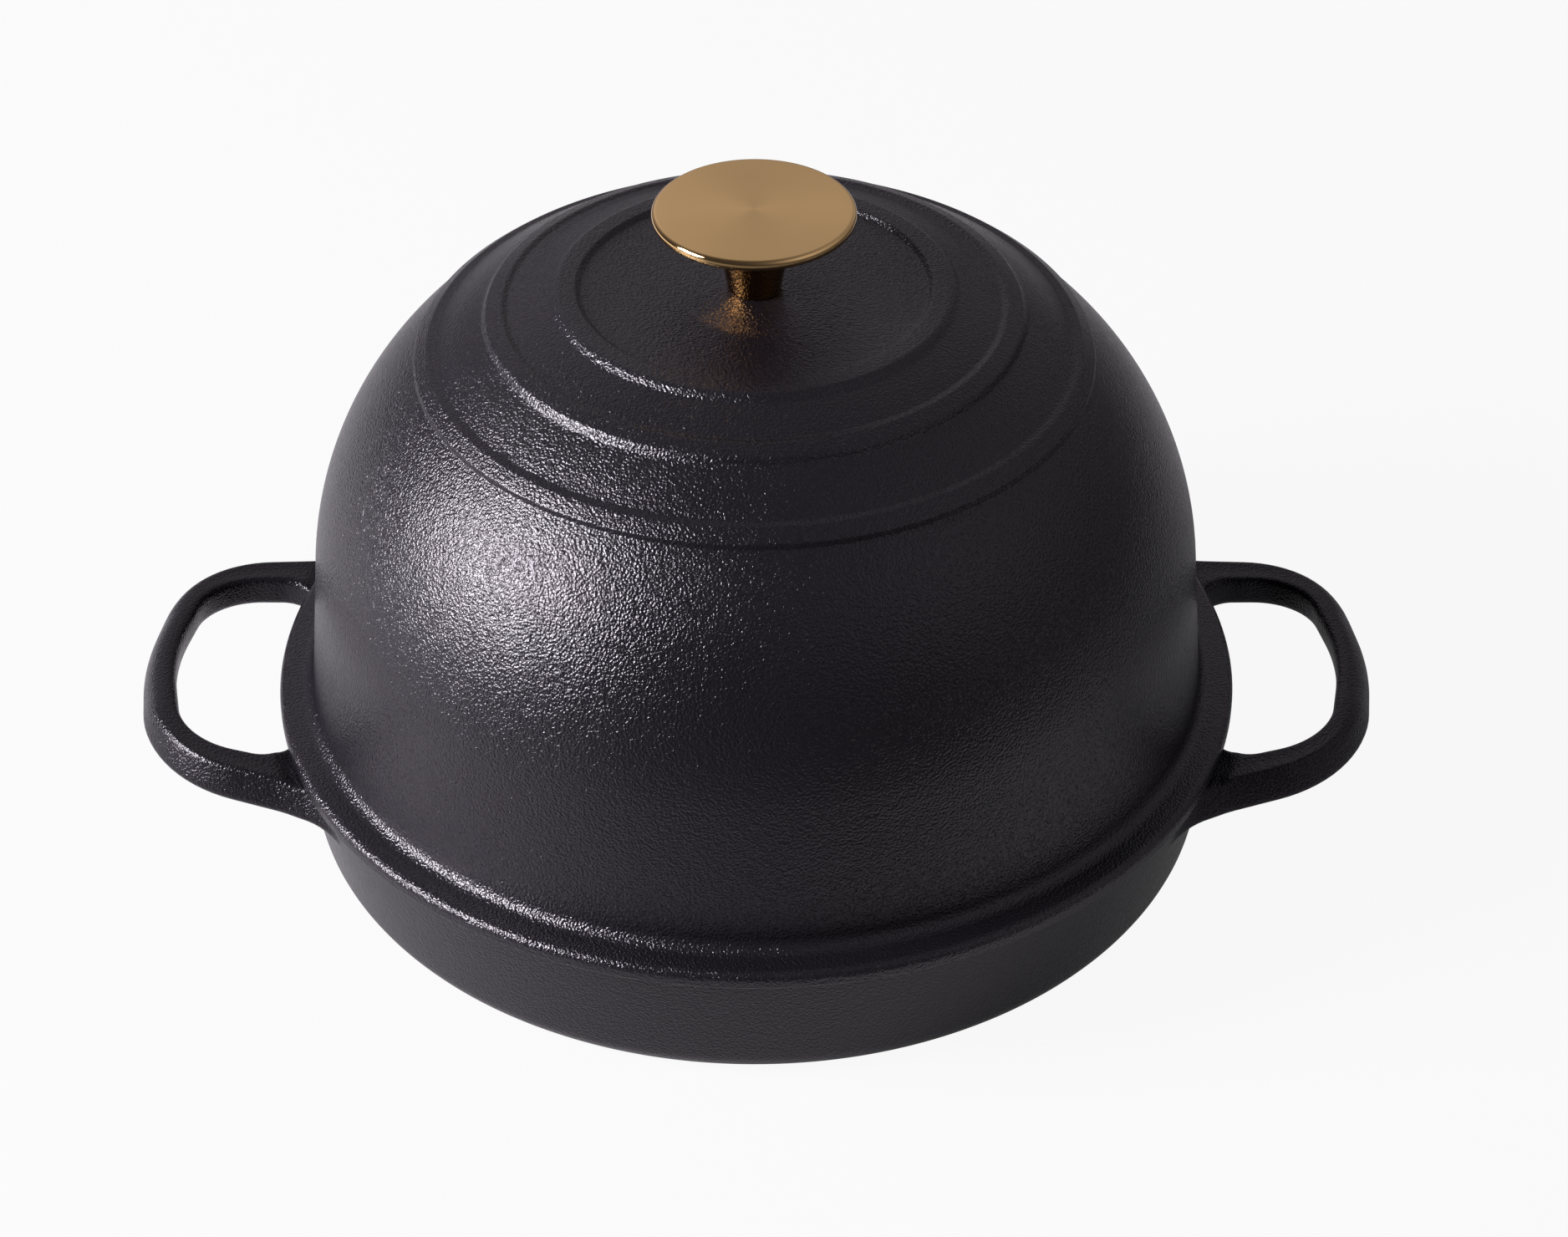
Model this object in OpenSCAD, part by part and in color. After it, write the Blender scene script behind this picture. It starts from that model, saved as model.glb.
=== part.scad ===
// Covered bread baker: a shallow enamelled iron pan with two loop handles, and a
// domed iron lid whose turned brass knob is held by a screw from inside.
// Millimetres. The origin is the centre of the foot, on the table, with +Z up.
// The handles lie along X.

/* [Pan] */
// Outside diameter of the pan at its rim
pan_rim_d = 259; // [230:1:320]
// Height of the rim above the table
pan_h = 38; // [32:0.5:60]
// Thickness of the pan's wall
pan_wall = 4.5; // [4:0.25:7]
// Thickness of the pan's floor
pan_floor = 4.5; // [3.5:0.25:8]
// Lean of the pan's wall from upright, in degrees
pan_draft = 9.5; // [3:0.5:12]
// Radius between the wall and the underside
pan_corner_r = 9; // [5:0.5:12]
// Radius between the wall and the floor inside
pan_corner_in_r = 8; // [4:0.5:12]
// Width of the ring that the pan stands on
foot_w = 9; // [5:0.5:14]
// Depth of the shallow hollow inside that ring
foot_recess = 1; // [0.5:0.1:2]

/* [Handles] */
// How far a handle stands out from the rim, along its slope
handle_reach = 40.2; // [36:0.2:60]
// Upward slope of a handle away from the pan, in degrees
handle_tilt = 7.5; // [0:0.5:10]
// Thickness of a handle, from top to bottom
handle_t = 8.8; // [7:0.1:12]
// Outside width of a handle where it leaves the pan
handle_root_w = 108.6; // [90:1:132]
// Outside width of a handle at its outer bar
handle_end_w = 88.6; // [76:1:106]
// Width of the outer bar
handle_bar_w = 7.8; // [7:0.2:13]
// Width of each arm at the pan
handle_arm_w = 13.4; // [10:0.2:18]
// Width of each arm at the outer bar
handle_arm_end_w = 7.4; // [6:0.2:12]
// How far the outer bar bows out at its middle
handle_bow = 5.8; // [2:0.2:9]
// How far the finger gap bows out at its middle
gap_bow = 7; // [3:0.2:9]
// Plan radius of a handle's outer corners
handle_corner_r = 37; // [20:1:42]
// Plan radius of the finger gap's outer corners
gap_corner_r = 20; // [10:1:24]
// Plan radius of the finger gap's corners at the pan
gap_root_r = 13; // [5:0.5:16]

/* [Lid] */
// Overhang of the lid's lip outside the rim
lip_overhang = 2.5; // [1:0.25:4]
// Height of the lip's upright edge
lip_h = 4.5; // [3:0.25:7]
// Width of the flange, from the lip's edge to the dome
flange_w = 9.4; // [8.6:0.2:14]
// Rise of the flange from the lip to the dome
flange_rise = 0.3; // [0:0.1:1.5]
// Radius of the hollow sweep from the flange up into the dome
flange_sweep_r = 4; // [2:0.2:5]
// Height of the dome above the rim, where its crown would close
dome_h = 126.8; // [110:0.2:160]
// Thickness of the dome's wall
lid_wall = 4.2; // [3.5:0.1:7]
// Lean of the dome's wall from upright, in degrees
dome_draft = 5; // [2:0.5:8]
// Radius of the dome's shoulder
shoulder_r = 89; // [76:1:100]
// Step down from the dome to its flat crown
crown_step = 1; // [0.5:0.1:2]
// Height of the rings on the dome
band_h = 1.2; // [0.6:0.1:2]
// Width of the rings on the dome
band_w = 6.3; // [4:0.1:9]
// Depth of the skirt that keeps the lid on the pan
skirt_h = 3.5; // [2:0.5:6]
// Thickness of the skirt
skirt_t = 4.4; // [3:0.1:6]
// Gap between the skirt and the pan's wall
skirt_gap = 1.4; // [1:0.1:3]

/* [Knob] */
// Diameter of the knob's disc
knob_d = 52.6; // [42:0.2:60]
// Height of the knob
knob_h = 23.3; // [20:0.1:30]
// Thickness of the disc
disc_t = 3; // [2.5:0.1:5]
// Diameter of the stem under the disc
stem_top_d = 26; // [20:0.2:30]
// Diameter of the stem at its foot
stem_foot_d = 14; // [12:0.2:17]

/* [Fasteners] */
// Diameter of the screw
screw_d = 6; // [5:0.5:6.5]
// How far the screw runs up into the knob
screw_grip = 10; // [7:0.5:12]
// Diameter of the screw's head
head_d = 12; // [10.5:0.5:14]
// Height of the screw's head
head_h = 3.6; // [3:0.1:5]
// Thickness of the flat washer
flat_washer_t = 1.6; // [1:0.1:2.5]
// Outside diameter of the flat washer
flat_washer_d = 16; // [13:0.5:20]
// Thickness of the spring washer
spring_washer_t = 1.6; // [1.2:0.1:2.5]

/* [Hidden] */
$fn = 128;
arc_step = 5;           // degrees between the points of a rounded corner
overrun = 1;            // how far a cut runs past what it cuts
iron = [0.11, 0.10, 0.12];
brass = [0.72, 0.53, 0.27];
steel = [0.66, 0.67, 0.69];

// The pan
pan_r = pan_rim_d / 2;
pan_in_r = pan_r - pan_wall / cos(pan_draft);
pan_mid_r = (pan_r + pan_in_r) / 2;
pan_floor_z = foot_recess + pan_floor;
rim_edge_r = 0.8;
function pan_wall_r(top_r, z) = top_r - (pan_h - z) * tan(pan_draft);
foot_r = pan_wall_r(pan_r, 0) - pan_corner_r * tan((90 - pan_draft) / 2);
foot_in_r = foot_r - foot_w;

// The handles
handle_x = pan_r + handle_reach;
bow_r = handle_end_w;   // plan radius in the middle of the outer bar
gap_bow_r = 75;         // plan radius in the middle of the finger gap's outer side
lid_relief = 2;         // gap between the lip and the handle beside it
relief_drop = 0.5;      // how far the handle lies below the rim under the lip
root_r = 22;            // radius of the flare where an arm meets the pan
root_spread = 16;       // how far round the wall that flare reaches, in degrees
// Limits on the finger gap's radii, as shares of the gap's length along an arm
gap_root_share = 0.45;
gap_corner_share = 0.65;

// The lid
lip_r = pan_r + lip_overhang;
lip_z = pan_h + lip_h;
flange_z = lip_z + flange_rise;
sweep_z = flange_z + flange_sweep_r;
dome_foot_r = lip_r - flange_w;
dome_top = pan_h + dome_h;
skirt_r = pan_in_r - skirt_gap;
lip_edge_r = 1.2;
skirt_edge_r = 1;
function dome_r(z) = dome_foot_r - (z - flange_z) * tan(dome_draft);
function dome_in_r(z) = dome_r(z) - lid_wall / cos(dome_draft);
shoulder_z = dome_top - shoulder_r;
shoulder_x = dome_r(shoulder_z) - shoulder_r / cos(dome_draft);
// Middle of each ring, as a share of the lip's radius
band_place_shares = [0.371, 0.511, 0.655];
band_slope = band_w * 0.22;
band_root = 1;          // how far a ring's section reaches into the wall
// The flat crown ends at the inner edge of the first ring
crown_a = acos((band_place_shares[0] * lip_r - shoulder_x) / shoulder_r) + arc_angle(band_w / 2);
crown_r = shoulder_x + shoulder_r * cos(crown_a);
crown_z = shoulder_z + shoulder_r * sin(crown_a) - crown_step;
crown_under = crown_z - lid_wall;

// The knob and what holds it
knob_top = crown_z + knob_h;
disc_edge_r = disc_t * 0.45;
stem_fillet_r = 4;
screw_play = 0.05;      // gap round the screw in the knob
hole_play = 0.4;        // gap round the screw in the lid and the washers
tap_spare = 2;          // depth of the knob's hole beyond the screw's end
spring_washer_d = head_d;
spring_split = 1.2;     // width of the spring washer's cut
spring_twist = 8;       // slant of that cut, in degrees
slot_w = 1.4;           // width of the cross in the screw's head
slot_l = head_d * 0.55;
slot_depth = head_h * 0.6;
flat_washer_top = crown_under;
spring_washer_top = flat_washer_top - flat_washer_t;
head_top = spring_washer_top - spring_washer_t;

// Angle that a length takes on the dome's shoulder
function arc_angle(length) = length / shoulder_r * 180 / PI;
function unit(v) = v / norm(v);
// Points that round the corner q, between p and s, with radius r
function corner(p, q, s, r) =
    let (u = unit(p - q), v = unit(s - q), half = acos(u * v) / 2)
    let (c = q + unit(u + v) * r / sin(half), turn = 180 - 2 * half)
    let (from = q + u * r / tan(half) - c, way = sign(u[0] * v[1] - u[1] * v[0]))
    let (n = max(1, ceil(turn / arc_step)))
    [for (i = [0 : n]) let (a = -way * turn * i / n)
        c + [from[0] * cos(a) - from[1] * sin(a), from[0] * sin(a) + from[1] * cos(a)]];
// An outline from its corners, each written as [x, y, radius]
function rounded(corners) =
    let (n = len(corners), at = [for (k = corners) [k[0], k[1]]])
    [for (i = [0 : n - 1])
        each corners[i][2] == 0 ? [at[i]]
            : corner(at[(i + n - 1) % n], at[i], at[(i + 1) % n], corners[i][2])];

module turned(corners) {
    rotate_extrude()
        polygon(rounded(corners));
}

module pan_body() {
    turned([
        [0, foot_recess, 0],
        [foot_in_r, foot_recess, 0],
        [foot_in_r, 0, 0],
        [pan_wall_r(pan_r, 0), 0, pan_corner_r],
        [pan_r, pan_h, rim_edge_r],
        [pan_in_r, pan_h, rim_edge_r],
        [pan_wall_r(pan_in_r, pan_floor_z), pan_floor_z, pan_corner_in_r],
        [0, pan_floor_z, 0]
    ]);
}

// The same corners on the other side of the X axis, in reverse
function flipped(corners) = [for (i = [len(corners) - 1 : -1 : 0])
    [corners[i][0], -corners[i][1], corners[i][2]]];

// What a corner of radius r takes off the tip of a bow
function bow_cut(bow, half_w, r) = r / cos(atan2(bow, half_w)) - r;

module handle_plan() {
    root_y = handle_root_w / 2;
    root_x = sqrt(pan_r * pan_r - root_y * root_y);
    root_a = atan2(root_y, root_x) + root_spread;
    // The flare runs into the leaning wall as deep as the handle's underside
    flare_r = pan_wall_r(pan_r, pan_h - handle_t);
    end_y = handle_end_w / 2;
    tip_x = handle_x + bow_cut(handle_bow, end_y, bow_r);
    outer = [
        [pan_mid_r * cos(root_a), pan_mid_r * sin(root_a), 0],
        [flare_r * cos(root_a), flare_r * sin(root_a), 0],
        [root_x, root_y, root_r],
        [tip_x - handle_bow, end_y, handle_corner_r]
    ];
    gap_y = root_y - handle_arm_w;
    gap_x = sqrt(pan_r * pan_r - gap_y * gap_y);
    gap_end_y = end_y - handle_arm_end_w;
    gap_tip_x = handle_x - handle_bar_w + bow_cut(gap_bow, gap_end_y, gap_bow_r);
    gap_l = gap_tip_x - gap_bow - gap_x;
    gap = [
        [gap_x, gap_y, min(gap_root_r, gap_l * gap_root_share)],
        [gap_tip_x - gap_bow, gap_end_y, min(gap_corner_r, gap_l * gap_corner_share)]
    ];
    difference() {
        polygon(rounded(concat(outer, [[tip_x, 0, bow_r]], flipped(outer))));
        polygon(rounded(concat(gap, [[gap_tip_x, 0, gap_bow_r]], flipped(gap))));
    }
}

// A handle slopes up from the rim, and clears the lid's lip where it passes it
module handle() {
    difference() {
        translate([pan_r, 0, pan_h])
            rotate([0, -handle_tilt, 0])
                translate([-pan_r, 0, -handle_t])
                    linear_extrude(handle_t)
                        handle_plan();
        translate([0, 0, pan_h - relief_drop])
            cylinder(h = handle_t, r = lip_r + lid_relief);
        // Inside the pan, up to the middle of its wall
        rotate_extrude()
            polygon([[0, 0], [pan_wall_r(pan_mid_r, 0), 0], [pan_mid_r, pan_h], [0, pan_h]]);
    }
}

module base_pan() {
    color(iron)
        union() {
            pan_body();
            for (turn = [0, 180])
                rotate(turn)
                    handle();
        }
}

module band(place) {
    mid = acos((place * lip_r - shoulder_x) / shoulder_r);
    half = arc_angle(band_w / 2);
    slope = arc_angle(band_slope);
    rotate_extrude()
        polygon([for (k = [[-half, -band_root], [slope - half, band_h], [half - slope, band_h], [half, -band_root]])
            [shoulder_x, shoulder_z] + (shoulder_r + k[1]) * [cos(mid + k[0]), sin(mid + k[0])]]);
}

module dome_lid() {
    color(iron)
        difference() {
            union() {
                turned([
                    [lip_r, pan_h, rim_edge_r],
                    [lip_r, lip_z, lip_edge_r],
                    [dome_foot_r, flange_z, flange_sweep_r],
                    [dome_r(dome_top), dome_top, shoulder_r],
                    [0, dome_top, 0],
                    [0, crown_under, 0],
                    [dome_in_r(crown_under), crown_under, shoulder_r - lid_wall],
                    [dome_in_r(sweep_z), sweep_z, 0],
                    [skirt_r - skirt_t, pan_h - skirt_h, 0],
                    [skirt_r, pan_h - skirt_h, skirt_edge_r],
                    [skirt_r, pan_h, 0]
                ]);
                for (place = band_place_shares)
                    band(place);
            }
            translate([0, 0, crown_z])
                cylinder(h = dome_top - crown_z + band_h + overrun, r = crown_r);
            translate([0, 0, crown_under - overrun])
                cylinder(h = lid_wall + 2 * overrun, r = screw_d / 2 + hole_play);
        }
}

module knob() {
    color(brass)
        difference() {
            turned([
                [0, crown_z, 0],
                [stem_foot_d / 2, crown_z, 0],
                [stem_top_d / 2, knob_top - disc_t, stem_fillet_r],
                [knob_d / 2, knob_top - disc_t, disc_edge_r],
                [knob_d / 2, knob_top, disc_edge_r],
                [0, knob_top, 0]
            ]);
            translate([0, 0, crown_z - overrun])
                cylinder(h = screw_grip + tap_spare + overrun, r = screw_d / 2 + screw_play);
        }
}

module knob_screw() {
    color(steel)
        difference() {
            union() {
                translate([0, 0, head_top])
                    cylinder(h = crown_z + screw_grip - head_top, d = screw_d);
                turned([
                    [0, head_top - head_h, 0],
                    [head_d / 2, head_top - head_h, head_h * 0.6],
                    [head_d / 2, head_top, 0],
                    [0, head_top, 0]
                ]);
            }
            for (turn = [0, 90])
                rotate(turn)
                    translate([-slot_l / 2, -slot_w / 2, head_top - head_h - overrun])
                        cube([slot_l, slot_w, slot_depth + overrun]);
        }
}

module washer(top, t, d) {
    translate([0, 0, top - t])
        difference() {
            cylinder(h = t, d = d);
            translate([0, 0, -overrun])
                cylinder(h = t + 2 * overrun, r = screw_d / 2 + hole_play);
        }
}

module flat_washer() {
    color(steel)
        washer(flat_washer_top, flat_washer_t, flat_washer_d);
}

module spring_washer() {
    color(steel)
        difference() {
            washer(spring_washer_top, spring_washer_t, spring_washer_d);
            translate([spring_washer_d / 2, 0, spring_washer_top - spring_washer_t / 2])
                rotate([spring_twist, 0, 0])
                    cube([spring_washer_d, spring_split, 3 * spring_washer_t], center = true);
        }
}

base_pan();
dome_lid();
knob();
knob_screw();
flat_washer();
spring_washer();
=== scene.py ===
from math import radians

import bmesh
import bpy
import numpy as np
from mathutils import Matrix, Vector


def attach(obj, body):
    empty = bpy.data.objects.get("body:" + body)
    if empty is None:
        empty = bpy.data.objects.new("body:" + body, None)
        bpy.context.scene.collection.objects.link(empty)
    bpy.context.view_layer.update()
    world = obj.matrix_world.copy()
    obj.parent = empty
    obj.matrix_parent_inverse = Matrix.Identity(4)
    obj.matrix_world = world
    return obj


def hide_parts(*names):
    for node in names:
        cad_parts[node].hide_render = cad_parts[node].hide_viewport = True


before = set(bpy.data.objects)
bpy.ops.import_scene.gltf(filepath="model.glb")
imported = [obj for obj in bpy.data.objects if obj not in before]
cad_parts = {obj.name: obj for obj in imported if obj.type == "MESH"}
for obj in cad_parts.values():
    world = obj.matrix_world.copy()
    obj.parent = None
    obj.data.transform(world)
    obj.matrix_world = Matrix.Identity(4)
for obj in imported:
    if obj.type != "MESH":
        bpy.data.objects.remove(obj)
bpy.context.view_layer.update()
mm = 0.001  # every shape below is worked out in millimetres

# Shapes

longestSide = 4.0  # between two points of an outline
fewestInArc = 3
mergeWithin = 1e-7  # points nearer than this, in metres, become one
sharpAngle = radians(40)  # two faces that meet at more than this keep a sharp edge


# The arc that touches both sides of a corner: its centre lies on the corner's bisector
# at radius / sin(half the corner's angle), and it turns from one side's touching point to the other's
def cornerArc(before, at, after, radius, count):
    toBefore = (before - at) / np.linalg.norm(before - at)
    toAfter = (after - at) / np.linalg.norm(after - at)
    half = np.arccos(np.clip(toBefore @ toAfter, -1, 1)) / 2
    bisector = (toBefore + toAfter) / np.linalg.norm(toBefore + toAfter)
    centre = at + bisector * radius / np.sin(half)
    start = at + toBefore * radius / np.tan(half) - centre
    way = np.sign(toBefore[0] * toAfter[1] - toBefore[1] * toAfter[0])
    turn = -way * np.linspace(0, np.pi - 2 * half, count)
    return centre + np.stack([start[0] * np.cos(turn) - start[1] * np.sin(turn),
                              start[0] * np.sin(turn) + start[1] * np.cos(turn)], 1)


# An outline from corners written as (x, y, radius): each corner becomes its arc, of one point
# for every arcStep degrees, and each straight side gets points no further apart than longestSide
def softOutline(corners, arcStep=7.5):
    at = np.array([corner[:2] for corner in corners], float)
    runs = []
    for i, corner in enumerate(corners):
        if corner[2] == 0 or i in (0, len(corners) - 1):
            runs.append(at[i][None])
            continue
        a, b = at[i - 1] - at[i], at[i + 1] - at[i]
        turn = 180 - np.degrees(np.arccos(a @ b / np.linalg.norm(a) / np.linalg.norm(b)))
        count = max(fewestInArc, int(turn / arcStep) + 2)
        runs.append(cornerArc(at[i - 1], at[i], at[i + 1], corner[2], count))
    joined = [runs[0]]
    for last, run in zip(runs, runs[1:]):
        parts = int(np.linalg.norm(run[0] - last[-1]) / longestSide) + 1
        joined.append(last[-1] + (run[0] - last[-1]) * np.arange(1, parts)[:, None] / parts)
        joined.append(run)
    return np.concatenate(joined)


# A grid of points becomes a closed mesh: neighbours in the grid share a face, each row wraps round, the
# last row may join the first or both may be capped, doubled points are merged and faces turned outwards
def gridMesh(name, grid, wrapRows=False, caps=False):
    rows, columns = grid.shape[:2]
    row, column = np.meshgrid(np.arange(rows if wrapRows else rows - 1), np.arange(columns), indexing="ij")
    nextRow, nextColumn = (row + 1) % rows, (column + 1) % columns
    quads = np.stack([row * columns + column, row * columns + nextColumn,
                      nextRow * columns + nextColumn, nextRow * columns + column], -1).reshape(-1, 4)
    faces = quads.tolist()
    if caps:
        faces += [np.arange(columns).tolist(), ((rows - 1) * columns + np.arange(columns)).tolist()]
    mesh = bpy.data.meshes.new(name)
    mesh.from_pydata((grid.reshape(-1, 3) * mm).tolist(), [], faces)
    work = bmesh.new()
    work.from_mesh(mesh)
    bmesh.ops.remove_doubles(work, verts=work.verts, dist=mergeWithin)
    bmesh.ops.dissolve_degenerate(work, edges=work.edges, dist=mergeWithin)
    bmesh.ops.recalc_face_normals(work, faces=work.faces)
    work.to_mesh(mesh)
    work.free()
    return mesh


# An outline turned about the Z axis: the point (r, z) at angle a lies at (r cos a, r sin a, z)
def turnedGrid(outline, turns):
    angle = np.linspace(0, 2 * np.pi, turns, endpoint=False)
    r, z = outline[:, :1], outline[:, 1:]
    return np.stack([r * np.cos(angle), r * np.sin(angle), z + 0 * angle], -1)


# From 0 to 1 with level ends: 3 t^2 - 2 t^3
def smoothStep(low, high, value):
    t = np.clip((value - low) / (high - low), 0, 1)
    return t * t * (3 - 2 * t)


# From 0 to 1 with a nearly even slope: half t, half smoothStep(t)
def softRamp(low, high, value):
    return (np.clip((value - low) / (high - low), 0, 1) + smoothStep(low, high, value)) / 2


# A mesh becomes a piece that rides on a body and stands for a node of the solid model, with smooth
# shading between its sharp edges
def addPiece(mesh, name, body, node, material):
    mesh.shade_smooth()
    mesh.set_sharp_from_angle(angle=sharpAngle)
    mesh.materials.clear()
    mesh.materials.append(material)
    piece = bpy.data.objects.new(name, mesh)
    bpy.context.scene.collection.objects.link(piece)
    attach(piece, body)
    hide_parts(node)


# Materials

noiseLow, noiseHigh = 0.3, 0.7  # nearly all of a noise lies between these


# Each input of a node gets a value, or a link from another node's output
def feed(tree, node, fed):
    for socket, source in dict(fed).items():
        if isinstance(source, bpy.types.NodeSocket):
            tree.links.new(source, node.inputs[socket])
        else:
            node.inputs[socket].default_value = source


# A node with its settings and what feeds it
def addNode(tree, kind, fed=(), **settings):
    node = tree.nodes.new(kind)
    for key, value in settings.items():
        setattr(node, key, value)
    feed(tree, node, fed)
    return node


# One operation on numbers: MULTIPLY_ADD, for instance, is a b + c
def calculate(tree, operation, *terms, clamp=False):
    return addNode(tree, "ShaderNodeMath", enumerate(terms), operation=operation, use_clamp=clamp).outputs[0]


# One operation on vectors that gives a vector
def combine(tree, operation, *terms):
    return addNode(tree, "ShaderNodeVectorMath", enumerate(terms), operation=operation).outputs[0]


# One operation on vectors that gives a number: a length, or a dot product
def measure(tree, operation, *terms):
    return addNode(tree, "ShaderNodeVectorMath", enumerate(terms), operation=operation).outputs["Value"]


# The range from low to high is stretched to the range from toLow to toHigh
def stretch(tree, value, low, high, toLow=0.0, toHigh=1.0, shape="LINEAR"):
    fed = {"Value": value, "From Min": low, "From Max": high, "To Min": toLow, "To Max": toHigh}
    return addNode(tree, "ShaderNodeMapRange", fed, interpolation_type=shape).outputs["Result"]


# Two tones mixed: first (1 - factor) + other factor, where other is second, or with MULTIPLY first second
def mixTones(tree, factor, first, second, blend="MIX"):
    fed = {"Factor": factor, 6: first, 7: second}
    return addNode(tree, "ShaderNodeMix", fed, data_type="RGBA", blend_type=blend).outputs[2]


# Two numbers mixed: first (1 - factor) + second factor
def mixNumbers(tree, factor, first, second):
    fed = {"Factor": factor, 2: first, 3: second}
    return addNode(tree, "ShaderNodeMix", fed, data_type="FLOAT").outputs[0]


# Noise at a place, as a node with a number and a tone
def noise(tree, place, scale, detail, roughness=0.5):
    fed = {"Vector": place, "Scale": scale, "Detail": detail, "Roughness": roughness}
    return addNode(tree, "ShaderNodeTexNoise", fed)


# A material, its nodes and its shader
def newMaterial(name):
    material = bpy.data.materials.new(name)
    material.use_nodes = True
    return material, material.node_tree, material.node_tree.nodes["Principled BSDF"]


# A shader node group with named inputs and outputs; each input is (name, kind, value)
def newGroup(name, inputs, outputs):
    group = bpy.data.node_groups.new(name, "ShaderNodeTree")
    for label, kind, value in inputs:
        socket = group.interface.new_socket(label, in_out="INPUT", socket_type=kind)
        socket.default_value = value
    for label, kind in outputs:
        group.interface.new_socket(label, in_out="OUTPUT", socket_type=kind)
    return group, group.nodes.new("NodeGroupInput"), group.nodes.new("NodeGroupOutput")


pebbles = {
    "scale": 1400.0, "detail": 1.5, "roughness": 0.45, "warpScale": 420.0, "warpDetail": 1.0, "warp": 0.0004,
    "waveScale": 55.0, "waveDetail": 2.0, "waveShare": 0.1,
    "patchScale": 26.0, "patchDetail": 4.0, "patchRoughness": 0.6,
}


# Pebbled enamel. Height: rounded pebbles of 0.7 mm times Pebble Size, over slow waves of the glaze.
# Tone: black, a little lighter in patches. Gloss: duller where the glaze is thin.
# Rubbed is 1 where another part or the table touches, and shows there between the pebbles
def buildPebbleGroup():
    group, start, result = newGroup("pebbleGlaze", [
        ("Pebble Size", "NodeSocketFloat", 1.0),
        ("Pebble Depth", "NodeSocketFloat", 1.0),
        ("Dull Share", "NodeSocketFloat", 0.5),
        ("Rubbed", "NodeSocketFloat", 0.0),
        ("Rubbed Tone", "NodeSocketColor", (0.045, 0.042, 0.04, 1)),
        ("Rubbed Gloss", "NodeSocketFloat", 0.42),
        ("Dark", "NodeSocketColor", (0.0055, 0.0045, 0.0065, 1)),
        ("Light", "NodeSocketColor", (0.010, 0.0085, 0.012, 1)),
        ("Gloss Low", "NodeSocketFloat", 0.42),
        ("Gloss High", "NodeSocketFloat", 0.55),
    ], [("Height", "NodeSocketFloat"), ("Tone", "NodeSocketColor"), ("Gloss", "NodeSocketFloat")])
    given = start.outputs
    place = addNode(group, "ShaderNodeTexCoord").outputs["Object"]
    finer = calculate(group, "DIVIDE", pebbles["scale"], given["Pebble Size"])
    warp = noise(group, place, pebbles["warpScale"], pebbles["warpDetail"]).outputs["Color"]
    bent = combine(group, "MULTIPLY_ADD", warp, (pebbles["warp"],) * 3, place)
    pebble = noise(group, bent, finer, pebbles["detail"], pebbles["roughness"]).outputs["Fac"]
    wave = noise(group, place, pebbles["waveScale"], pebbles["waveDetail"]).outputs["Fac"]
    height = calculate(group, "ADD", calculate(group, "MULTIPLY", pebble, given["Pebble Depth"]),
                       calculate(group, "MULTIPLY", wave, pebbles["waveShare"]))
    patch = noise(group, place, pebbles["patchScale"], pebbles["patchDetail"],
                  pebbles["patchRoughness"]).outputs["Fac"]
    worn = calculate(group, "MULTIPLY", patch, given["Dull Share"], clamp=True)
    tone = mixTones(group, worn, given["Dark"], given["Light"])
    gloss = stretch(group, patch, noiseLow, noiseHigh, given["Gloss Low"], given["Gloss High"])
    rubbed = calculate(group, "MULTIPLY", given["Rubbed"], pebble, clamp=True)
    feed(group, result, {
        "Height": height,
        "Tone": mixTones(group, rubbed, tone, given["Rubbed Tone"]),
        "Gloss": mixNumbers(group, rubbed, gloss, given["Rubbed Gloss"]),
    })
    return group


pebbleGroup = buildPebbleGroup()


# Enamel: the glaze feeds colour, gloss and bump. Rubbed falls from 1 to 0 as the distance from the level
# contactZ grows to contactReach
def enamel(name, look):
    material, tree, shader = newMaterial(name)
    place = addNode(tree, "ShaderNodeTexCoord").outputs["Object"]
    level = addNode(tree, "ShaderNodeSeparateXYZ", {0: place}).outputs["Z"]
    apart = calculate(tree, "ABSOLUTE", calculate(tree, "SUBTRACT", level, look["contactZ"]))
    glaze = addNode(tree, "ShaderNodeGroup", node_tree=pebbleGroup)
    feed(tree, glaze, {**look["glaze"], "Rubbed": stretch(tree, apart, look["contactReach"], 0.0)})
    bump = addNode(tree, "ShaderNodeBump", {
        "Strength": look["bumpStrength"], "Distance": look["bumpDepth"], "Height": glaze.outputs["Height"]})
    feed(tree, shader, {
        "Base Color": glaze.outputs["Tone"], "Roughness": glaze.outputs["Gloss"],
        "Normal": bump.outputs["Normal"], "Specular IOR Level": look["specular"], "Specular Tint": look["tint"]})
    return material


enamelLook = {
    "glaze": {"Pebble Size": 0.95, "Pebble Depth": 1.0, "Gloss Low": 0.22, "Gloss High": 0.27},
    "bumpStrength": 1.0, "bumpDepth": 0.00037, "specular": 0.55, "tint": (0.97, 0.92, 1.0, 1),
    "contactZ": 0.038, "contactReach": 0.0004,
}
lidEnamel = enamel("lidEnamel", enamelLook)
panEnamel = enamel("panEnamel", {**enamelLook, "specular": 0.36, "contactZ": 0.0,
                                 "glaze": {**enamelLook["glaze"], "Pebble Depth": 0.9}})

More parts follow.
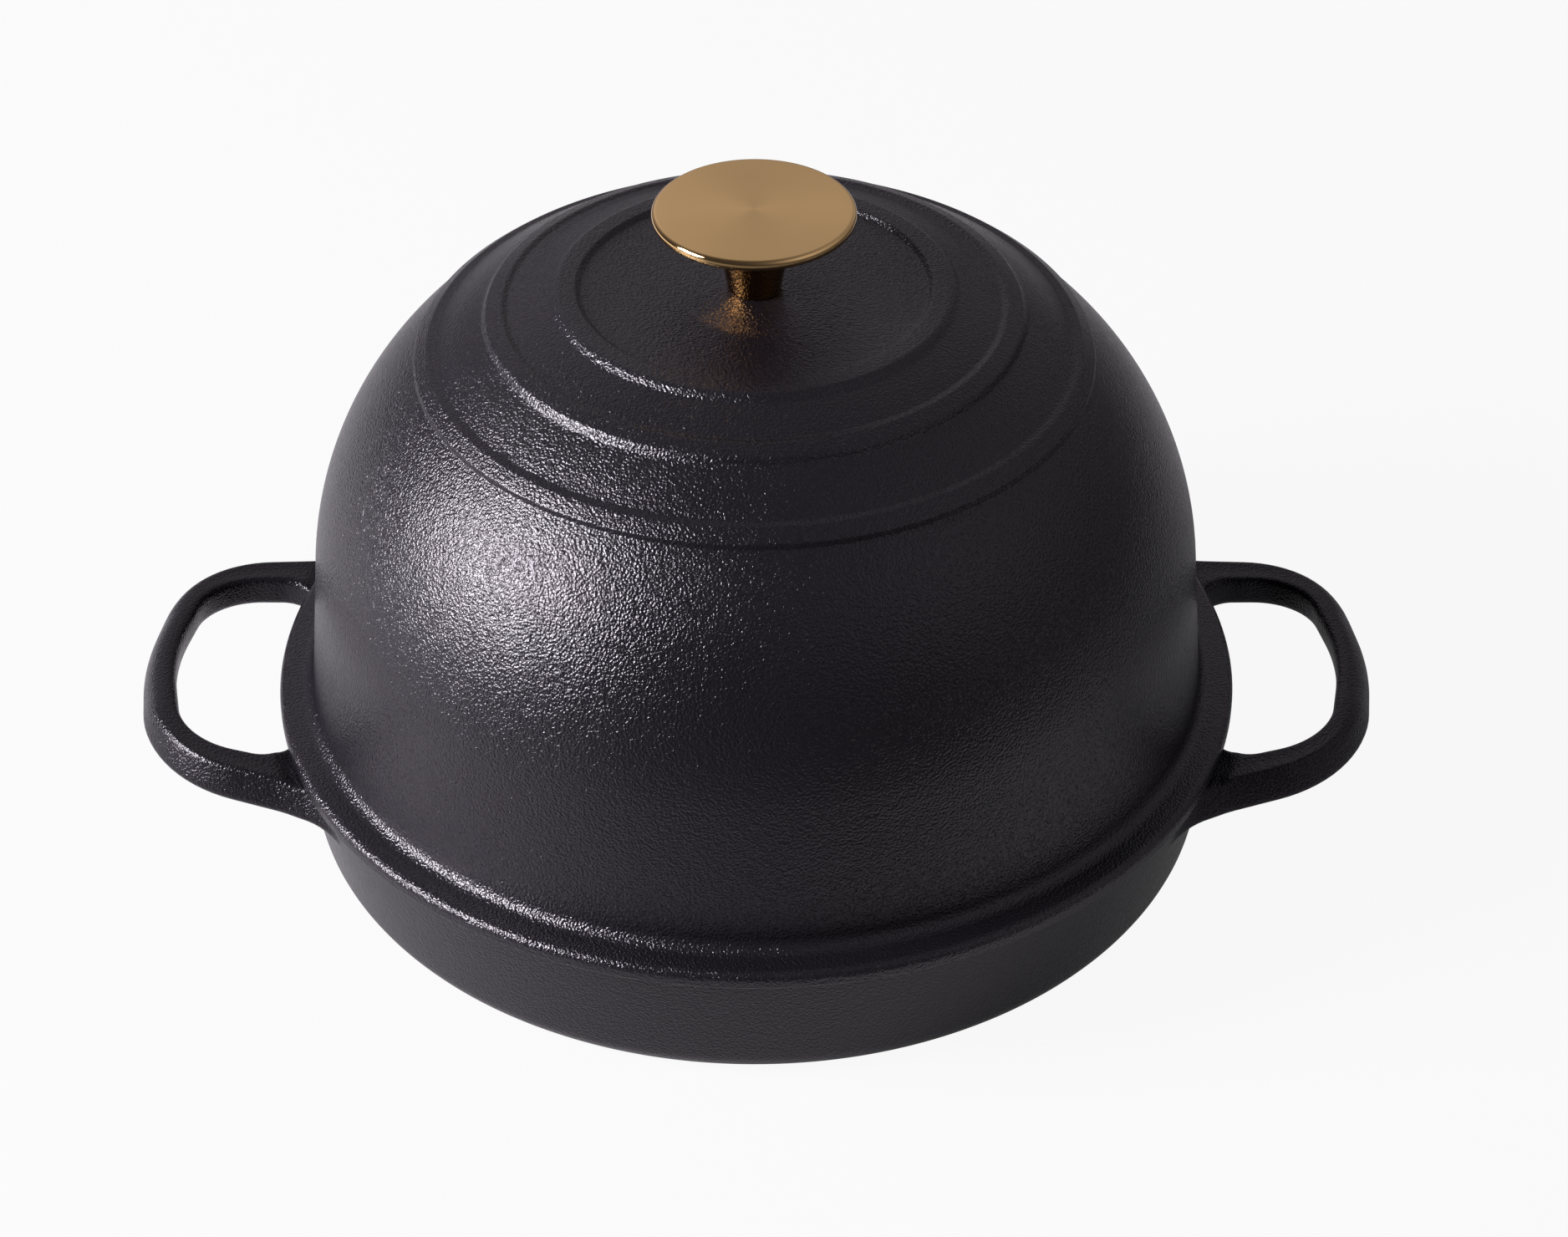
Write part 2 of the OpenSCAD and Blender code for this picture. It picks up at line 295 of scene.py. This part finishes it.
knobLook = {
    "tone": (0.93, 0.61, 0.275, 1), "toneDeep": (0.79, 0.515, 0.23, 1), "faceLow": 0.23, "faceHigh": 0.27,
    "sideLow": 0.035, "sideHigh": 0.07, "faceFrom": 0.18545, "faceTo": 0.18572,
    "grooves": 5200.0, "grooveDetail": 2.0, "grooveStrength": 0.06, "grooveDepth": 0.000006,
    "cloudScale": 38.0, "cloudDetail": 3.0, "anisotropy": 0.3, "anisotropyTurn": 0.25,
    # the darker tone and the heights below which it applies: painted shade under the disc and on the stem
    "paintedShadeTone": (0.40, 0.31, 0.21, 1), "paintedShadeFrom": 0.1835, "paintedShadeTo": 0.1826,
    # the sector turn and share set a painted sheen in the base colour, lighter in two opposite sectors
    "sheenTurn": 0.2, "sheenShare": 0.4,
}


# Turned brass. Fine rings of its own noise along the radius; the tone is cloudy from handling, and a painted
# sheen makes it a little lighter in two opposite sectors, cos(2 angle); a satin top where z is above faceTo,
# a polished edge below faceFrom, and painted shade, a darker base colour, under the disc and on the stem
def brass(name, look):
    material, tree, shader = newMaterial(name)
    place = addNode(tree, "ShaderNodeTexCoord").outputs["Object"]
    split = addNode(tree, "ShaderNodeSeparateXYZ", {0: place}).outputs
    radius = measure(tree, "LENGTH", combine(tree, "MULTIPLY", place, (1, 1, 0)))
    turned = {"W": radius, "Scale": look["grooves"], "Detail": look["grooveDetail"]}
    groove = addNode(tree, "ShaderNodeTexNoise", turned, noise_dimensions="1D").outputs["Fac"]
    cloud = noise(tree, place, look["cloudScale"], look["cloudDetail"]).outputs["Fac"]
    around = calculate(tree, "ARCTAN2", split["Y"], split["X"])
    # painted sheen: the base colour is made lighter in two opposite sectors, as a turned face would shine
    sectorSheen = calculate(tree, "COSINE", calculate(tree, "MULTIPLY_ADD", around, 2.0, look["sheenTurn"]))
    lighter = calculate(tree, "MULTIPLY_ADD", sectorSheen, look["sheenShare"], cloud, clamp=True)
    # the cloud is the brass's own tone from handling; the sectors added to it are painted sheen
    cloudAndSheenTone = mixTones(tree, lighter, look["toneDeep"], look["tone"])
    # painted shade: below the disc's top the base colour is multiplied by a darker tone, under the disc and down
    # the stem
    under = stretch(tree, split["Z"], look["paintedShadeFrom"], look["paintedShadeTo"])
    face = stretch(tree, split["Z"], look["faceFrom"], look["faceTo"])
    polish = stretch(tree, cloud, noiseLow, noiseHigh, look["sideLow"], look["sideHigh"])
    satin = stretch(tree, groove, noiseLow, noiseHigh, look["faceLow"], look["faceHigh"])
    bump = addNode(tree, "ShaderNodeBump", {
        "Strength": look["grooveStrength"], "Distance": look["grooveDepth"], "Height": groove})
    feed(tree, shader, {
        "Base Color": mixTones(tree, under, cloudAndSheenTone, look["paintedShadeTone"], "MULTIPLY"),
        "Roughness": mixNumbers(tree, face, polish, satin), "Normal": bump.outputs["Normal"],
        "Metallic": 1.0, "Anisotropic": look["anisotropy"], "Anisotropic Rotation": look["anisotropyTurn"]})
    return material


knobBrass = brass("knobBrass", knobLook)
print("materials made")

# Pan

pan = {
    "rimR": 129.5, "height": 38.0, "draft": 9.5, "wall": 4.5, "floor": 4.5, "cornerR": 9.0, "cornerInR": 8.0,
    "footW": 9.0, "recess": 1.0, "footEdgeR": 0.45, "rimEdgeR": 0.9, "turns": 288,
}
pan["slope"] = np.tan(radians(pan["draft"]))
pan["inR"] = pan["rimR"] - pan["wall"] / np.cos(radians(pan["draft"]))


# The wall leans outwards: from topR at the rim its radius shrinks by tan(draft) with each millimetre down
def panWallR(topR, z):
    return topR - (pan["height"] - z) * pan["slope"]


# The pan's section: up from the foot ring along the leaning wall, over the rim and down to the floor
def panOutline():
    floorZ = pan["recess"] + pan["floor"]
    bottomR = panWallR(pan["rimR"], 0)
    footR = bottomR - pan["cornerR"] * np.tan(radians(90 - pan["draft"]) / 2) - pan["footW"]
    return softOutline([
        (0, pan["recess"], 0),
        (footR - pan["footEdgeR"], pan["recess"], pan["footEdgeR"]),
        (footR + pan["footEdgeR"], 0, pan["footEdgeR"]),
        (bottomR, 0, pan["cornerR"]),
        (pan["rimR"], pan["height"], pan["rimEdgeR"]),
        (pan["inR"], pan["height"], pan["rimEdgeR"]),
        (panWallR(pan["inR"], floorZ), floorZ, pan["cornerInR"]),
        (0, floorZ, 0),
    ])


# Widths in plan, then the section's shape, then the way in which it meets the pan. The counts are the
# steps in the lead, flare, arm, corner and bow, and the points to the tip
handle = {
    "reach": 40.45, "rootW": 111.4, "endW": 89.0, "barW": 9.2, "armW": 15.6, "armEndW": 8.5,
    "bow": 5.8, "bowR": 90.0, "cornerR": 37.5, "gapBow": 7.1, "gapBowR": 75.0, "gapCornerR": 19.6,
    "gapStart": (125.2, 20.0), "gapRootX": 128.4, "gapRootR": 8.5,
    "tilt": 7.6, "thick": 10.3, "lift": 1.4, "lean": 0.26, "leanFrom": -0.6,
    "armSquare": (6.5, 4.5, 4.5, 4.5), "barSquare": (2.4, 3.2, 3.2, 3.2), "barFrom": 27, "barTo": 43,
    "dish": 0.8, "dishFrom": 0.4,
    "flareR": 30.0, "flareTurn": 16.0, "flareInR": 127.0, "flareFade": 11, "sink": 0.3,
    "filletR": 5.5, "filletFrom": 0.2, "filletTo": -0.9,
    "reliefR": 133.6, "reliefFade": 2.6, "reliefZ": 37.2,
    "counts": (4, 12, 12, 16, 7, 11), "sectionPoints": 44,
}


# One side of a handle's plan: points along a run of corners, with as many points in each side and arc
# as the counts say, so that the outer outline and the gap's outline can be paired point by point
def pairedRun(corners):
    leadCount, flareCount, armCount, cornerCount, bowCount, tipCount = handle["counts"]
    at = [np.array(corner[:2], float) for corner in corners]
    tip = at[3]
    mirrored = np.array([at[2][0], -at[2][1]])
    flare = cornerArc(at[0], at[1], at[2], corners[1][2], flareCount)
    bend = cornerArc(at[1], at[2], tip, corners[2][2], cornerCount)
    top = cornerArc(at[2], tip, mirrored, corners[3][2], 2 * tipCount - 1)[:tipCount]
    between = lambda a, b, n: a + (b - a) * np.arange(1, n)[:, None] / n
    return np.concatenate([between(at[0], flare[0], leadCount), flare, between(flare[-1], bend[0], armCount),
                           bend, between(bend[-1], top[0], bowCount), top])


# What rounding takes off the tip of a bow: r / cos(the slope of its sides) - r
def bowCut(bow, halfW, r):
    return r / np.cos(np.arctan2(bow, halfW)) - r


# The outer outline and the gap's outline of a handle, from root to root, paired point by point
def handlePlan():
    rootY, endY = handle["rootW"] / 2, handle["endW"] / 2
    rootX = np.sqrt(pan["rimR"] ** 2 - rootY ** 2)
    flareAngle = np.arctan2(rootY, rootX) + radians(handle["flareTurn"])
    handleX = pan["rimR"] + handle["reach"]
    tipX = handleX + bowCut(handle["bow"], endY, handle["bowR"])
    outer = pairedRun([
        (handle["flareInR"] * np.cos(flareAngle), handle["flareInR"] * np.sin(flareAngle), 0),
        (rootX, rootY, handle["flareR"]), (tipX - handle["bow"], endY, handle["cornerR"]),
        (tipX, 0, handle["bowR"])])
    gapY, gapEndY = rootY - handle["armW"], endY - handle["armEndW"]
    gapTipX = handleX - handle["barW"] + bowCut(handle["gapBow"], gapEndY, handle["gapBowR"])
    inner = pairedRun([
        (*handle["gapStart"], 0), (handle["gapRootX"], gapY, handle["gapRootR"]),
        (gapTipX - handle["gapBow"], gapEndY, handle["gapCornerR"]), (gapTipX, 0, handle["gapBowR"])])
    flip = np.array([1, -1])
    return [np.concatenate([run, run[-2::-1] * flip])[:, None] for run in (outer, inner)]


# A handle: a section |x|^n + |z|^n = 1, with its own n in each quarter, carried from root to root between
# the two outlines, its outer face leaning in towards the top. The arms have sharp edges and a dished top,
# the bar is rounder. Near the pan the stations bend to the round wall, the underside sweeps down in
# a fillet, the flares sink into the wall, and the top drops under the lid's lip
def handleGrid():
    outer, inner = handlePlan()
    turn = np.linspace(0, 2 * np.pi, handle["sectionPoints"], endpoint=False)
    station = np.arange(len(outer))
    fromEnd = np.minimum(station, station[::-1])
    barShare = smoothStep(handle["barFrom"], handle["barTo"], fromEnd)[:, None]
    quarter = (turn // (np.pi / 2)).astype(int)
    armSquare, barSquare = np.array(handle["armSquare"])[quarter], np.array(handle["barSquare"])[quarter]
    power = 2 / (armSquare * (1 - barShare) + barSquare * barShare)
    across = np.sign(np.cos(turn)) * np.abs(np.cos(turn)) ** power
    upward = np.sign(np.sin(turn)) * np.abs(np.sin(turn)) ** power
    lean = handle["lean"] * np.clip((upward - handle["leanFrom"]) / (1 - handle["leanFrom"]), 0, 1)
    share = ((1 + across) / 2 * (1 - lean))[..., None]
    straight = inner + (outer - inner) * share
    radius = lambda p: np.hypot(p[..., 0], p[..., 1])
    angle = lambda p: np.arctan2(p[..., 1], p[..., 0])
    bentR = radius(inner) + (radius(outer) - radius(inner)) * share[..., 0]
    bentA = angle(inner) + (angle(outer) - angle(inner)) * share[..., 0]
    bent = np.stack([bentR * np.cos(bentA), bentR * np.sin(bentA)], -1)
    bend = (1 - smoothStep(0, sum(handle["counts"][:2]), fromEnd))[:, None, None]
    plan = straight * (1 - bend) + bent * bend
    tilt = radians(handle["tilt"])
    dish = handle["dish"] * (1 - barShare) * (1 - across ** 2) * smoothStep(handle["dishFrom"], 1, upward)
    along, level = plan[..., 0] - pan["rimR"], (upward - 1) * handle["thick"] / 2 - dish
    x = pan["rimR"] + along * np.cos(tilt) - level * np.sin(tilt)
    z = pan["height"] + handle["lift"] + along * np.sin(tilt) + level * np.cos(tilt)
    y = plan[..., 1]
    reach = np.hypot(x, y)
    gap = np.clip(reach - panWallR(pan["rimR"], z), 0, handle["filletR"])
    sweep = handle["filletR"] - np.sqrt(handle["filletR"] ** 2 - (handle["filletR"] - gap) ** 2)
    z = z - sweep * smoothStep(handle["filletFrom"], handle["filletTo"], upward)
    near = 1 - smoothStep(handle["reliefR"], handle["reliefR"] + handle["reliefFade"], reach)
    z = z - near * np.maximum(z - handle["reliefZ"], 0)
    outside = np.maximum(reach + handle["sink"] - panWallR(pan["rimR"], z), 0)
    sink = (1 - smoothStep(0, handle["flareFade"], fromEnd))[:, None] * outside / reach
    return np.stack([x * (1 - sink), y * (1 - sink), z], -1)


# One closed mesh from a mesh and the others that overlap it, which keeps only the outer surface
def unite(mesh, others):
    base = bpy.data.objects.new("uniting", mesh)
    bpy.context.scene.collection.objects.link(base)
    tools = []
    for i, other in enumerate(others):
        tool = bpy.data.objects.new(f"unitingPart{i}", other)
        bpy.context.scene.collection.objects.link(tool)
        joint = base.modifiers.new("unite", "BOOLEAN")
        joint.operation, joint.solver, joint.object = "UNION", "MANIFOLD", tool
        tools.append(tool)
    bpy.context.view_layer.update()
    united = bpy.data.meshes.new_from_object(base.evaluated_get(bpy.context.evaluated_depsgraph_get()))
    for tool in tools + [base]:
        bpy.data.objects.remove(tool)
    return united


rightGrid = handleGrid()
panMesh = unite(gridMesh("panBody", turnedGrid(panOutline(), pan["turns"])), [
    gridMesh("handleRight", rightGrid, caps=True),
    gridMesh("handleLeft", rightGrid * np.array([-1, -1, 1]), caps=True),
])
panMesh.name = "panCasting"
addPiece(panMesh, "panCasting", "pan", "base_pan", panEnamel)
print("pan made:", len(panMesh.polygons), "faces")

# Lid

lid = {
    "lipR": 131.98, "rimZ": 38.0, "lipH": 4.5, "flangeW": 9.4, "flangeRise": 0.3, "sweepR": 4.0,
    "lipEdgeR": 2.3, "seatEdgeR": 0.7, "seatStep": 0.4, "dome": 126.8, "draft": 5.0, "shoulderR": 89.0,
    "wall": 4.2, "skirtR": 123.54, "skirtH": 3.5, "skirtT": 4.4, "skirtEdgeR": 1.0, "crownZ": 162.41,
    "crownStepW": 1.3, "crownStepR": 0.9, "holeR": 3.4, "holeStep": 0.5, "holeEdgeR": 0.4,
    "pointStep": 0.32, "evenSlope": 1e-4, "evenStride": 5, "turns": 240,
}
lid["flangeZ"] = lid["rimZ"] + lid["lipH"] + lid["flangeRise"]
# Each ring: middle as a share of the lip's radius, half its width, height at its inner and outer edge,
# and the widths over which it rises on the inside and falls on the outside. The first runs on to the crown
rings = [
    {"share": 0.3733, "half": 2.95, "inH": 0.25, "outH": 1.35, "rise": None, "fall": 2.9},
    {"share": 0.511, "half": 3.0, "inH": 1.0, "outH": 1.25, "rise": 2.0, "fall": 2.2},
    {"share": 0.655, "half": 2.9, "inH": 1.05, "outH": 1.1, "rise": 2.3, "fall": 1.1},
]


# The dome's wall leans inwards: its radius shrinks by tan(draft) with each millimetre of height
def domeR(z):
    return lid["lipR"] - lid["flangeW"] - (z - lid["flangeZ"]) * np.tan(radians(lid["draft"]))


# The shoulder is an arc about one centre, lifted by each ring's height times its rise and fall. Where
# the lift hardly changes, only one point in evenStride is kept
def shoulderPoints():
    shoulderR, draft = lid["shoulderR"], radians(lid["draft"])
    centreZ = lid["rimZ"] + lid["dome"] - shoulderR
    centreX = domeR(centreZ) - shoulderR / np.cos(draft)
    alongTo = lambda r: shoulderR * (np.arccos((r - centreX) / shoulderR) - draft)
    length = alongTo(rings[0]["share"] * lid["lipR"] - rings[0]["half"])
    along = np.linspace(0, length, int(length / lid["pointStep"]))
    angle = draft + along / shoulderR
    lift = np.zeros_like(along)
    for ring in rings:
        half = ring["half"]
        inward = along - alongTo(ring["share"] * lid["lipR"])
        height = ring["outH"] + (ring["inH"] - ring["outH"]) * np.clip((inward + half) / (2 * half), 0, 1)
        fall = softRamp(-half - ring["fall"] / 2, -half + ring["fall"] / 2, inward)
        rise = 1
        if ring["rise"]:
            rise = 1 - smoothStep(half - ring["rise"] / 2, half + ring["rise"] / 2, inward)
        lift += height * fall * rise
    keep = np.ones(len(along), bool)
    even = np.abs(np.gradient(lift)) < lid["evenSlope"]
    keep[1:-1] = ~even[1:-1] | (np.arange(1, len(along) - 1) % lid["evenStride"] == 0)
    r = centreX + (shoulderR + lift) * np.cos(angle)
    z = centreZ + (shoulderR + lift) * np.sin(angle)
    return np.stack([r, z], 1)[keep]


# The lid's section: round the lip, along the level flange, up the dome, across the crown to the screw's
# hole, and back along the inside to the skirt that keeps the lid on the pan
def lidOutline():
    lipZ = lid["rimZ"] + lid["lipH"]
    shoulder = shoulderPoints()
    outside = softOutline([
        (lid["skirtR"], lid["rimZ"], 0), (lid["lipR"], lid["rimZ"], lid["seatEdgeR"]),
        (lid["lipR"], lipZ, lid["lipEdgeR"]),
        (lid["lipR"] - lid["flangeW"], lid["flangeZ"], lid["sweepR"]), (*shoulder[0], 0),
    ], arcStep=6)
    edge, shoulder = shoulder[-1], shoulder[:-2]
    crown = softOutline([
        (*shoulder[-1], 0), (*edge, lid["crownStepR"]),
        (edge[0] - lid["crownStepW"], lid["crownZ"], lid["crownStepR"]), (lid["holeR"], lid["crownZ"], 0),
    ])[1:]
    underZ, sweepZ = lid["crownZ"] - lid["wall"], lid["flangeZ"] + lid["sweepR"]
    skirtZ = lid["rimZ"] - lid["skirtH"]
    inR = lambda z: domeR(z) - lid["wall"] / np.cos(radians(lid["draft"]))
    inside = softOutline([
        (lid["holeR"], lid["crownZ"] - lid["holeStep"], 0), (lid["holeR"], underZ, lid["holeEdgeR"]),
        (inR(underZ), underZ, lid["shoulderR"] - lid["wall"]), (inR(sweepZ), sweepZ, 0),
        (lid["skirtR"] - lid["skirtT"], skirtZ, lid["skirtEdgeR"]), (lid["skirtR"], skirtZ, lid["skirtEdgeR"]),
        (lid["skirtR"], lid["rimZ"] - lid["seatStep"], 0),
    ], arcStep=2.5)
    return np.concatenate([outside[:-1], shoulder, crown, inside])


lidMesh = gridMesh("domeLid", turnedGrid(lidOutline(), lid["turns"]), wrapRows=True)
addPiece(lidMesh, "domeLid", "lid", "dome_lid", lidEnamel)
print("lid made:", len(lidMesh.polygons), "faces")

# Knob

knob = {
    "foot": 162.41, "top": 185.735, "discR": 26.28, "disc": 3.0, "edgeR": 1.3, "filletR": 4.0,
    "stemFootR": 6.98, "stemFootEdgeR": 0.35, "stemLowR": 7.75, "stemLowH": 5.0, "stemLowBend": 60.0,
    "stemHighR": 9.6, "stemHighH": 13.0, "stemHighBend": 30.0, "stemTopR": 12.98,
    "boreR": 3.05, "bore": 12.0, "boreEdgeR": 0.3, "turns": 160,
}
underDisc = knob["top"] - knob["disc"]
# The knob's section: down the bore for the screw, out along the foot, up the hollow stem and round the disc
knobOutline = softOutline([
    (0, knob["foot"] + knob["bore"], 0), (knob["boreR"], knob["foot"] + knob["bore"], 0),
    (knob["boreR"], knob["foot"], knob["boreEdgeR"]), (knob["stemFootR"], knob["foot"], knob["stemFootEdgeR"]),
    (knob["stemLowR"], knob["foot"] + knob["stemLowH"], knob["stemLowBend"]),
    (knob["stemHighR"], knob["foot"] + knob["stemHighH"], knob["stemHighBend"]),
    (knob["stemTopR"], underDisc, knob["filletR"]), (knob["discR"], underDisc, knob["edgeR"]),
    (knob["discR"], knob["top"], knob["edgeR"]), (0, knob["top"], 0),
], arcStep=3)
knobMesh = gridMesh("knobBody", turnedGrid(knobOutline, knob["turns"]))
addPiece(knobMesh, "knobTurned", "lid", "knob", knobBrass)
print("knob made")

# Fasteners

steelLook = {
    "tone": (0.42, 0.42, 0.43, 1), "toneLight": (0.62, 0.62, 0.63, 1),
    "grainScale": 900.0, "grainDetail": 3.0, "glossLow": 0.22, "glossHigh": 0.38,
}


# Plain steel: fine grain, lighter and duller where the noise is high
def steel(name, look):
    material, tree, shader = newMaterial(name)
    place = addNode(tree, "ShaderNodeTexCoord").outputs["Object"]
    grain = noise(tree, place, look["grainScale"], look["grainDetail"]).outputs["Fac"]
    feed(tree, shader, {
        "Base Color": mixTones(tree, grain, look["tone"], look["toneLight"]),
        "Roughness": stretch(tree, grain, noiseLow, noiseHigh, look["glossLow"], look["glossHigh"]),
        "Metallic": 1.0})
    return material


fastenerSteel = steel("fastenerSteel", steelLook)
for name in ("knob_screw", "flat_washer", "spring_washer"):
    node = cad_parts[name]
    node.data.materials.clear()
    node.data.materials.append(fastenerSteel)
print("fasteners finished")

# Stage, light and camera

stage = {
    # the far tone is painted shade: a darker floor colour away from the object, as if light fell off there
    "half": 3.0, "pale": (0.425, 0.41, 0.435, 1), "far": (0.12, 0.12, 0.125, 1),
    "white": (0.985, 0.985, 0.985, 1), "whiteShare": 0.94, "glossyShare": 0.16,
    "middle": (-0.32, 0.51, 0), "reach": (0.68, 0.693, 1), "fadeFrom": 1.0, "fadeTo": 1.05,
}


# The floor: diffuse, its colour pale round the object and darker far away, a painted falloff of light,
# with white added for camera and transmitted rays, and near the object a share of it for glossy ones. How far
# "near" reaches follows (x^8 + y^8)^(1/8) from its middle: two squarings, a length and a fourth root. From below
# it is clear
def floorMaterial():
    material, tree = newMaterial("paleFloor")[:2]
    tree.nodes.clear()
    place = addNode(tree, "ShaderNodeTexCoord").outputs["Object"]
    scaled = combine(tree, "DIVIDE", combine(tree, "SUBTRACT", place, stage["middle"]), stage["reach"])
    squared = combine(tree, "MULTIPLY", scaled, scaled)
    length = measure(tree, "LENGTH", combine(tree, "MULTIPLY", squared, squared))
    near = stretch(tree, calculate(tree, "POWER", length, 1 / 4), stage["fadeTo"], stage["fadeFrom"],
                   shape="SMOOTHSTEP")
    path = addNode(tree, "ShaderNodeLightPath").outputs
    shiny = calculate(tree, "MULTIPLY", path["Is Glossy Ray"], stage["glossyShare"])
    shinyNear = calculate(tree, "MULTIPLY", shiny, near)
    sees = calculate(tree, "MAXIMUM", path["Is Camera Ray"], shinyNear)
    seesAll = calculate(tree, "MAXIMUM", sees, path["Is Transmission Ray"])
    amount = calculate(tree, "MULTIPLY", seesAll, stage["whiteShare"])
    # painted shade: the floor's colour goes from pale near the object to the darker far tone, as light would
    # fall off
    tone = mixTones(tree, near, stage["far"], stage["pale"])
    paint = addNode(tree, "ShaderNodeBsdfDiffuse", {"Color": tone}).outputs[0]
    glow = addNode(tree, "ShaderNodeEmission", {"Color": stage["white"], "Strength": 1.0}).outputs[0]
    mixed = addNode(tree, "ShaderNodeMixShader", {0: amount, 1: paint, 2: glow}).outputs[0]
    below = addNode(tree, "ShaderNodeNewGeometry").outputs["Backfacing"]
    clear = addNode(tree, "ShaderNodeBsdfTransparent").outputs[0]
    oneSided = addNode(tree, "ShaderNodeMixShader", {0: below, 1: mixed, 2: clear}).outputs[0]
    addNode(tree, "ShaderNodeOutputMaterial", {"Surface": oneSided})
    return material


floorMesh = bpy.data.meshes.new("floor")
floorCorners = [(x * stage["half"], y * stage["half"], 0) for x, y in ((-1, -1), (1, -1), (1, 1), (-1, 1))]
floorMesh.from_pydata(floorCorners, [], [(0, 1, 2, 3)])
floorMesh.materials.append(floorMaterial())
floor = bpy.data.objects.new("floor", floorMesh)
bpy.context.scene.collection.objects.link(floor)

keyLamp = {
    "at": (-1.61, -0.45, 0.91), "aim": (-0.06, -0.03, 0.09), "size": (0.84, 0.8), "power": 90.0,
    "tone": (1.0, 0.98, 1.0),
}
light = bpy.data.lights.new("key", "AREA")
light.shape = "RECTANGLE"
light.size, light.size_y = keyLamp["size"]
light.energy, light.color = keyLamp["power"], keyLamp["tone"]
lamp = bpy.data.objects.new("key", light)
bpy.context.scene.collection.objects.link(lamp)
lamp.location = keyLamp["at"]
lamp.rotation_euler = (Vector(keyLamp["aim"]) - Vector(keyLamp["at"])).to_track_quat("-Z", "Y").to_euler()

# The room: a pale backdrop for the camera, and for the light a dim base and soft glows. A glow falls off
# as exp(sharpness (cos(angle) - 1)) from its middle, and its turn is measured from the camera's side
room = {
    "base": (0.05, 0.047, 0.053), "backdrop": (0.95, 0.95, 0.95, 1),
    "glows": [
        {"turn": 180, "rise": 35, "sharpness": 6.0, "tone": (0.2, 0.195, 0.19)},
        {"turn": -148, "rise": 42, "sharpness": 11.0, "tone": (0.13, 0.12, 0.125)},
        {"turn": -160, "rise": 12, "sharpness": 14.0, "tone": (0.17, 0.155, 0.18)},
        {"turn": -162, "rise": 27, "sharpness": 16.0, "tone": (0.16, 0.15, 0.165)},
        {"turn": 150, "rise": 9, "sharpness": 24.0, "tone": (0.18, 0.17, 0.185)},
        {"turn": 58, "rise": 33, "sharpness": 9.0, "tone": (0.42, 0.41, 0.43)},
        {"turn": 105, "rise": 34, "sharpness": 6.0, "tone": (0.21, 0.2, 0.21)},
    ],
}
world = bpy.data.worlds.new("studio")
bpy.context.scene.world = world
world.use_nodes = True
sky = world.node_tree
way = addNode(sky, "ShaderNodeTexCoord").outputs["Generated"]
total = addNode(sky, "ShaderNodeCombineXYZ", enumerate(room["base"])).outputs[0]
for glow in room["glows"]:
    turn, rise = radians(glow["turn"]), radians(glow["rise"])
    middle = (np.sin(turn) * np.cos(rise), -np.cos(turn) * np.cos(rise), np.sin(rise))
    facing = measure(sky, "DOT_PRODUCT", way, middle)
    fade = calculate(sky, "MULTIPLY_ADD", facing, glow["sharpness"], -glow["sharpness"])
    shine = {0: glow["tone"], "Scale": calculate(sky, "EXPONENT", fade)}
    tinted = addNode(sky, "ShaderNodeVectorMath", shine, operation="SCALE").outputs[0]
    total = combine(sky, "ADD", total, tinted)
seen = addNode(sky, "ShaderNodeLightPath").outputs["Is Camera Ray"]
feed(sky, sky.nodes["Background"], {"Color": mixTones(sky, seen, total, room["backdrop"])})

# The focal length and the width of the photograph are in its pixels
view = {
    "at": (0.00763, -0.8118, 0.6659), "down": 36.96, "focal": 4400, "width": 1876, "sensor": 36,
    "nearest": 0.05, "farthest": 20,
}
camera = bpy.data.cameras.new("camera")
camera.sensor_fit, camera.sensor_width = "HORIZONTAL", view["sensor"]
camera.lens = view["focal"] / view["width"] * view["sensor"]
camera.clip_start, camera.clip_end = view["nearest"], view["farthest"]
cameraObject = bpy.data.objects.new("camera", camera)
cameraObject.location = view["at"]
cameraObject.rotation_euler = (radians(90 - view["down"]), 0, 0)
bpy.context.scene.collection.objects.link(cameraObject)
bpy.context.scene.camera = cameraObject
bpy.context.scene.view_settings.view_transform = "Standard"
print("stage ready")
